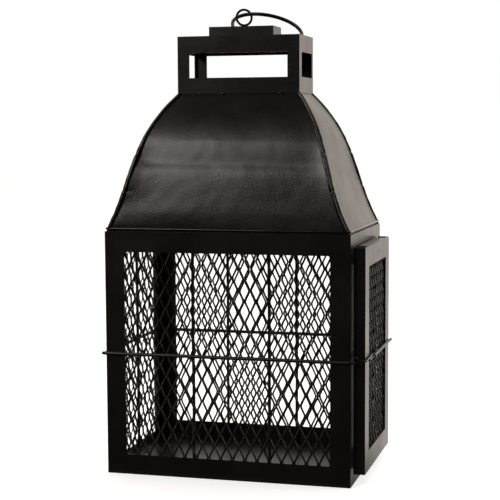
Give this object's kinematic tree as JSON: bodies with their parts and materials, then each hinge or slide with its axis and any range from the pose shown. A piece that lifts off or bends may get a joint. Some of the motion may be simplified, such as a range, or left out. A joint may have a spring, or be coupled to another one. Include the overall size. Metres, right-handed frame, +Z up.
{
  "type": "barn lantern",
  "caption": "Rectangular wire-mesh lantern in black steel, with a hinged side door on a wire latch, an ogee roof, an open cupola and a loose hanging ring.",
  "frame": {"origin": "middle of the box frame's underside, on the floor plate", "axes": "+Z up, +X towards the hinged door, +Y towards the back"},
  "size_m": [0.332, 0.2066, 0.5724],
  "materials": {
    "frame_paint": "satin black powder coat",
    "door_paint": "satin black powder coat",
    "roof_paint": "semi-matte black powder coat on thin sheet",
    "cupola_paint": "satin black powder coat",
    "mesh_paint": "matte black coat on expanded metal",
    "wire_paint": "satin black coat on wire",
    "hinge_paint": "satin black coat",
    "ring_paint": "gloss black coat on round wire"
  },
  "bodies": {
    "frame": {"cap_box": "cupola_paint", "cupola_back_frame": "cupola_paint", "cupola_front_frame": "cupola_paint", "cupola_left_bands": "cupola_paint", "cupola_right_bands": "cupola_paint", "cupola_top_plate": "cupola_paint", "eye": "ring_paint", "floor_plate": "frame_paint", "hinge_lower_pin": "hinge_paint", "hinge_lower_post_leaf": "hinge_paint", "hinge_upper_pin": "hinge_paint", "hinge_upper_post_leaf": "hinge_paint", "mesh_back": "mesh_paint", "mesh_front": "mesh_paint", "mesh_left": "mesh_paint", "post_back_left": "frame_paint", "post_back_right": "frame_paint", "post_front_left": "frame_paint", "post_front_right": "frame_paint", "rail_back_bottom": "frame_paint", "rail_back_top": "frame_paint", "rail_front_bottom": "frame_paint", "rail_front_top": "frame_paint", "rail_left_bottom": "frame_paint", "rail_left_top": "frame_paint", "rail_right_bottom": "frame_paint", "rail_right_top": "frame_paint", "roof_back": "roof_paint", "roof_curb": "roof_paint", "roof_front": "roof_paint", "roof_left": "roof_paint", "roof_right": "roof_paint", "wire_back_level": "wire_paint", "wire_front_level": "wire_paint", "wire_left_level": "wire_paint", "wire_left_upright": "wire_paint", "wires_back_upright": "wire_paint", "wires_front_upright": "wire_paint"},
    "door": {"door_mesh": "mesh_paint", "door_rail_bottom": "door_paint", "door_rail_top": "door_paint", "door_stile_hinge": "door_paint", "door_stile_latch": "door_paint", "door_wire_level": "wire_paint", "door_wire_upright": "wire_paint", "hinge_lower_door_leaf": "hinge_paint", "hinge_upper_door_leaf": "hinge_paint"},
    "latch": {"latch_hook": "wire_paint"},
    "ring": {"hanging_ring": "ring_paint"}
  },
  "joints": [
    {"name": "door_hinge", "type": "hinge", "parent": "frame", "child": "door", "pos_m": [0.161, 0.0805, 0.15], "axis": [0, 0, 1], "range_deg": [0, 90]},
    {"name": "latch_pivot", "type": "hinge", "parent": "door", "child": "latch", "pos_m": [0.17015, -0.052, 0.15], "axis": [0, 1, 0], "range_deg": [0, 120]},
    {"name": "ring_swing", "type": "hinge", "parent": "frame", "child": "ring", "pos_m": [-0.0015, 0.0021, 0.5648], "axis": [0.9004, -0.4264, 0.0862], "range_deg": [0, 110]}
  ]
}
